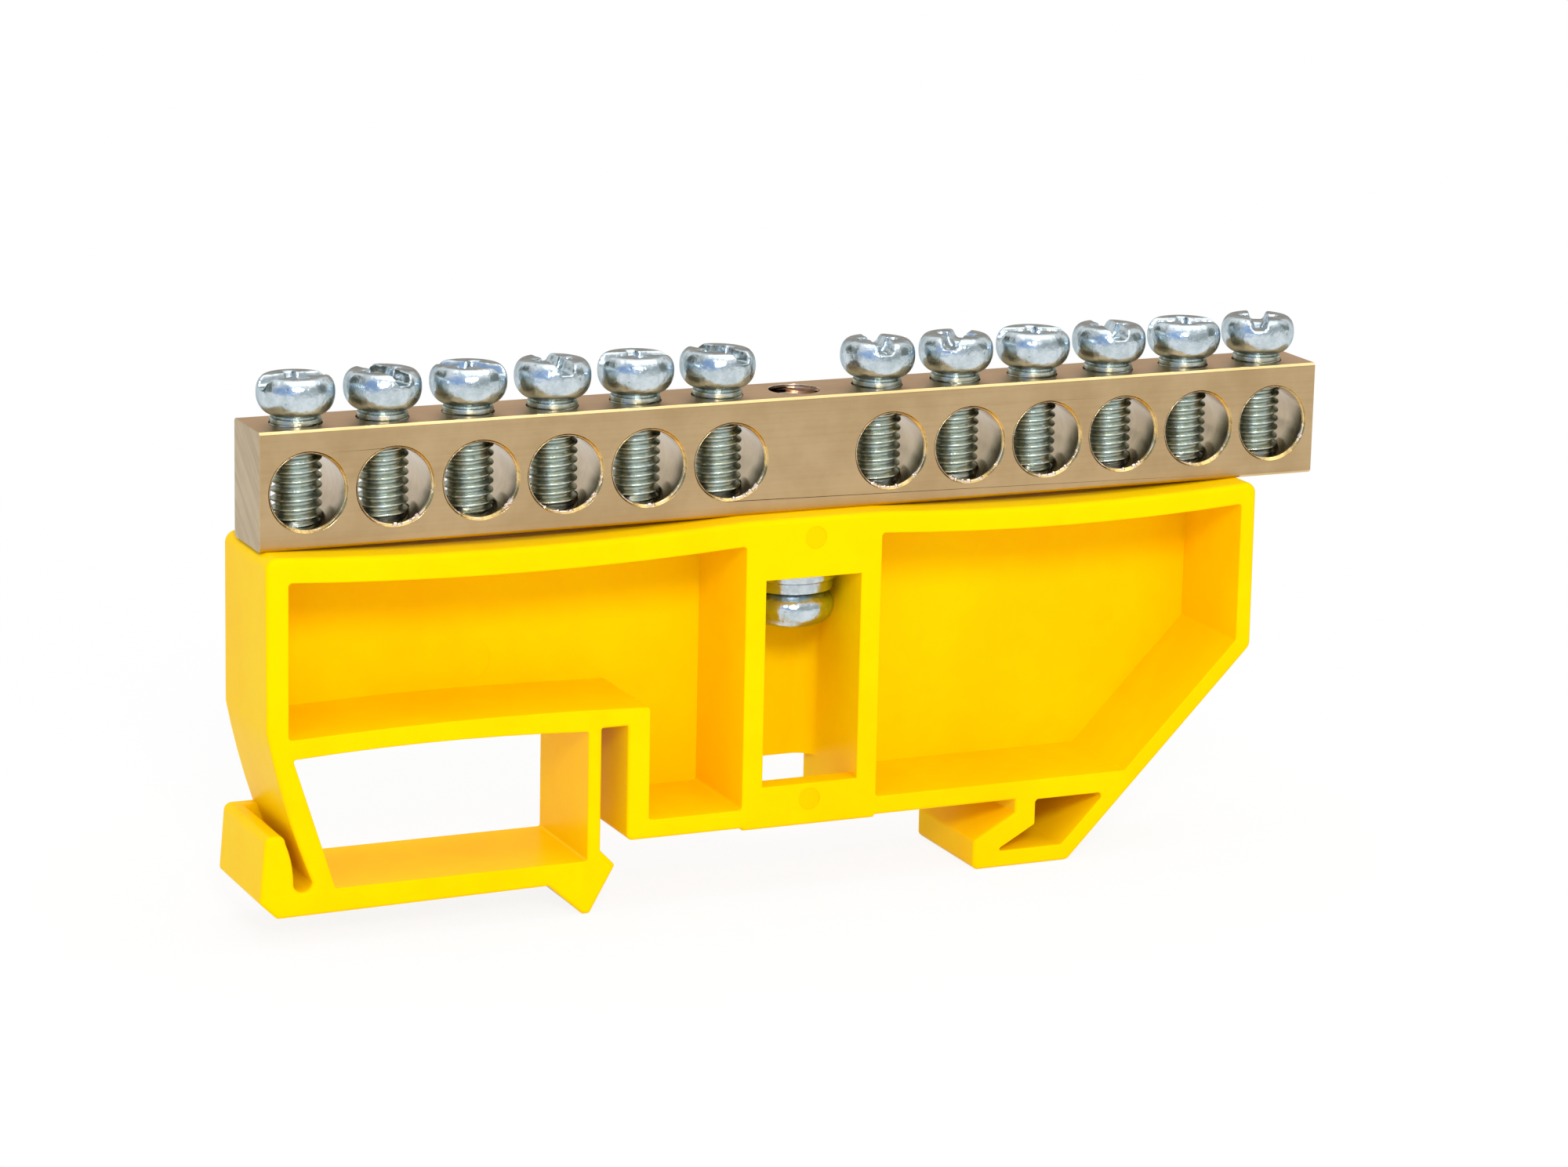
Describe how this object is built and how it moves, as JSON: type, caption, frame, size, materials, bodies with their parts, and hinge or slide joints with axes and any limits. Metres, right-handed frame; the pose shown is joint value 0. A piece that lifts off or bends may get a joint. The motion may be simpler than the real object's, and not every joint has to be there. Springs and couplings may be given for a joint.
{
  "type": "earth terminal bar",
  "caption": "Brass earth terminal bar with wire holes and clamp screws on a moulded plastic holder that clips on a 35 mm rail.",
  "frame": {"origin": "in the plane of the face that seats on the rail, under the bar's middle place and at half the bar's depth", "axes": "+X along the bar from the latch to the fixed hook, +Y from the open side of the pockets to the closed back, +Z from the rail to the bar"},
  "size_m": [0.0892, 0.0102, 0.0423],
  "materials": {
    "holder_plastic": "glossy yellow moulding",
    "bar_brass": "drawn brass with drag lines and a saw-cut end",
    "screw_zinc": "bright zinc plate"
  },
  "bodies": {
    "holder": {"rail_holder": "holder_plastic", "terminal_bar": "bar_brass", "mounting_screw": "screw_zinc", "flat_washer": "screw_zinc", "spring_washer": "screw_zinc"},
    "clamp_screw_01": {"clamp_screw_01": "screw_zinc"},
    "clamp_screw_02": {"clamp_screw_02": "screw_zinc"},
    "clamp_screw_03": {"clamp_screw_03": "screw_zinc"},
    "clamp_screw_04": {"clamp_screw_04": "screw_zinc"},
    "clamp_screw_05": {"clamp_screw_05": "screw_zinc"},
    "clamp_screw_06": {"clamp_screw_06": "screw_zinc"},
    "clamp_screw_07": {"clamp_screw_07": "screw_zinc"},
    "clamp_screw_08": {"clamp_screw_08": "screw_zinc"},
    "clamp_screw_09": {"clamp_screw_09": "screw_zinc"},
    "clamp_screw_10": {"clamp_screw_10": "screw_zinc"},
    "clamp_screw_11": {"clamp_screw_11": "screw_zinc"},
    "clamp_screw_12": {"clamp_screw_12": "screw_zinc"}
  },
  "joints": [
    {"name": "clamp_screw_01_travel", "type": "slide", "parent": "holder", "child": "clamp_screw_01", "axis": [0, 0, 1], "range_m": [0, 0.0057]},
    {"name": "clamp_screw_02_travel", "type": "slide", "parent": "holder", "child": "clamp_screw_02", "axis": [0, 0, 1], "range_m": [0, 0.0057]},
    {"name": "clamp_screw_03_travel", "type": "slide", "parent": "holder", "child": "clamp_screw_03", "axis": [0, 0, 1], "range_m": [0, 0.0057]},
    {"name": "clamp_screw_04_travel", "type": "slide", "parent": "holder", "child": "clamp_screw_04", "axis": [0, 0, 1], "range_m": [0, 0.0057]},
    {"name": "clamp_screw_05_travel", "type": "slide", "parent": "holder", "child": "clamp_screw_05", "axis": [0, 0, 1], "range_m": [0, 0.0057]},
    {"name": "clamp_screw_06_travel", "type": "slide", "parent": "holder", "child": "clamp_screw_06", "axis": [0, 0, 1], "range_m": [0, 0.0057]},
    {"name": "clamp_screw_07_travel", "type": "slide", "parent": "holder", "child": "clamp_screw_07", "axis": [0, 0, 1], "range_m": [0, 0.0057]},
    {"name": "clamp_screw_08_travel", "type": "slide", "parent": "holder", "child": "clamp_screw_08", "axis": [0, 0, 1], "range_m": [0, 0.0057]},
    {"name": "clamp_screw_09_travel", "type": "slide", "parent": "holder", "child": "clamp_screw_09", "axis": [0, 0, 1], "range_m": [0, 0.0057]},
    {"name": "clamp_screw_10_travel", "type": "slide", "parent": "holder", "child": "clamp_screw_10", "axis": [0, 0, 1], "range_m": [0, 0.0057]},
    {"name": "clamp_screw_11_travel", "type": "slide", "parent": "holder", "child": "clamp_screw_11", "axis": [0, 0, 1], "range_m": [0, 0.0057]},
    {"name": "clamp_screw_12_travel", "type": "slide", "parent": "holder", "child": "clamp_screw_12", "axis": [0, 0, 1], "range_m": [0, 0.0057]}
  ]
}
